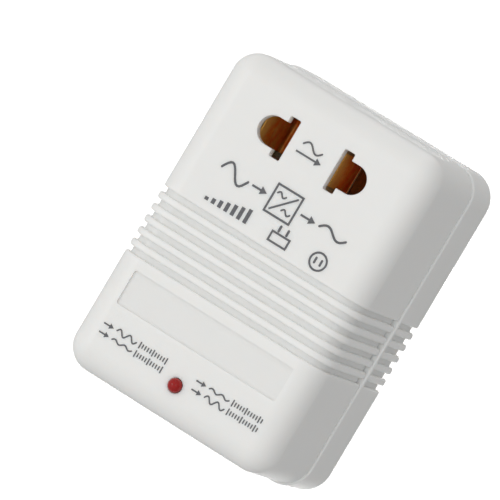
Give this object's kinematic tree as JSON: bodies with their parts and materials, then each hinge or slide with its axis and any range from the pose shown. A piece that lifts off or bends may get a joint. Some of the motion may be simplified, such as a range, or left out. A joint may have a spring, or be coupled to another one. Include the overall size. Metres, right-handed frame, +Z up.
{
  "type": "travel voltage converter",
  "caption": "Wall-plug voltage converter: flat plug blades and a recessed voltage slide switch at the rear, a socket for flat or round pins and a pilot lamp at the front.",
  "frame": {"origin": "midway between the two plug blades, on the rear face that meets the wall", "axes": "+X to the right seen from the front, +Y from the front cover towards the wall, +Z up"},
  "size_m": [0.0494, 0.0585, 0.0714],
  "materials": {
    "case_plastic": "fine satin moulded ABS, cool white",
    "insert_plastic": "smooth moulded, off-white",
    "bobbin_plastic": "natural nylon",
    "blade_metal": "nickel-plated brass, satin",
    "contact_metal": "phosphor bronze, dull",
    "screw_steel": "nickel-plated steel",
    "switch_plastic": "black moulded",
    "phenolic_board": "brown phenolic laminate",
    "terminal_metal": "tinned brass",
    "core_steel": "silicon-steel laminations, varnished",
    "copper_winding": "enamelled copper wire",
    "yellow_tape": "polyester tape",
    "fuse_case": "thermal fuse shell",
    "red_lamp": "diffused red epoxy",
    "resistor_body": "lacquered",
    "wire_red": "PVC insulation",
    "wire_black": "PVC insulation",
    "wire_white": "PVC insulation",
    "wire_yellow": "PVC insulation",
    "wire_blue": "PVC insulation"
  },
  "bodies": {
    "case": {"bobbin": "bobbin_plastic", "case_screw_1": "screw_steel", "case_screw_2": "screw_steel", "case_screw_3": "screw_steel", "case_screw_4": "screw_steel", "contact_holder": "insert_plastic", "core_e_stack": "core_steel", "core_i_stack": "core_steel", "front_cover": "case_plastic", "holder_screw_left": "screw_steel", "holder_screw_right": "screw_steel", "lamp_board": "phenolic_board", "lamp_lead_left": "terminal_metal", "lamp_lead_right": "terminal_metal", "lamp_resistor": "resistor_body", "lamp_wire_left": "wire_blue", "lamp_wire_right": "wire_blue", "output_contact_left": "contact_metal", "output_contact_right": "contact_metal", "pilot_lamp": "red_lamp", "plug_blade_left": "blade_metal", "plug_blade_right": "blade_metal", "plug_block": "insert_plastic", "rear_cover": "case_plastic", "selector_base": "phenolic_board", "selector_frame": "switch_plastic", "selector_jumper_1": "terminal_metal", "selector_jumper_2": "terminal_metal", "selector_terminal_1": "terminal_metal", "selector_terminal_2": "terminal_metal", "selector_terminal_3": "terminal_metal", "selector_terminal_4": "terminal_metal", "selector_terminal_5": "terminal_metal", "selector_terminal_6": "terminal_metal", "thermal_fuse": "fuse_case", "winding": "copper_winding", "winding_tape": "yellow_tape", "wire_blade_to_fuse": "wire_black", "wire_blade_to_selector": "wire_red", "wire_fuse_to_winding": "wire_black", "wire_selector_to_output": "wire_white", "wire_selector_to_tap": "wire_yellow", "wire_selector_to_winding": "wire_red", "wire_winding_to_output": "wire_black"},
    "selector": {"selector_slider": "switch_plastic", "selector_bridge_lower": "terminal_metal", "selector_bridge_upper": "terminal_metal"}
  },
  "joints": [
    {"name": "selector_slide", "type": "slide", "parent": "case", "child": "selector", "axis": [1, 0, 0], "range_m": [0, 0.0045]}
  ]
}
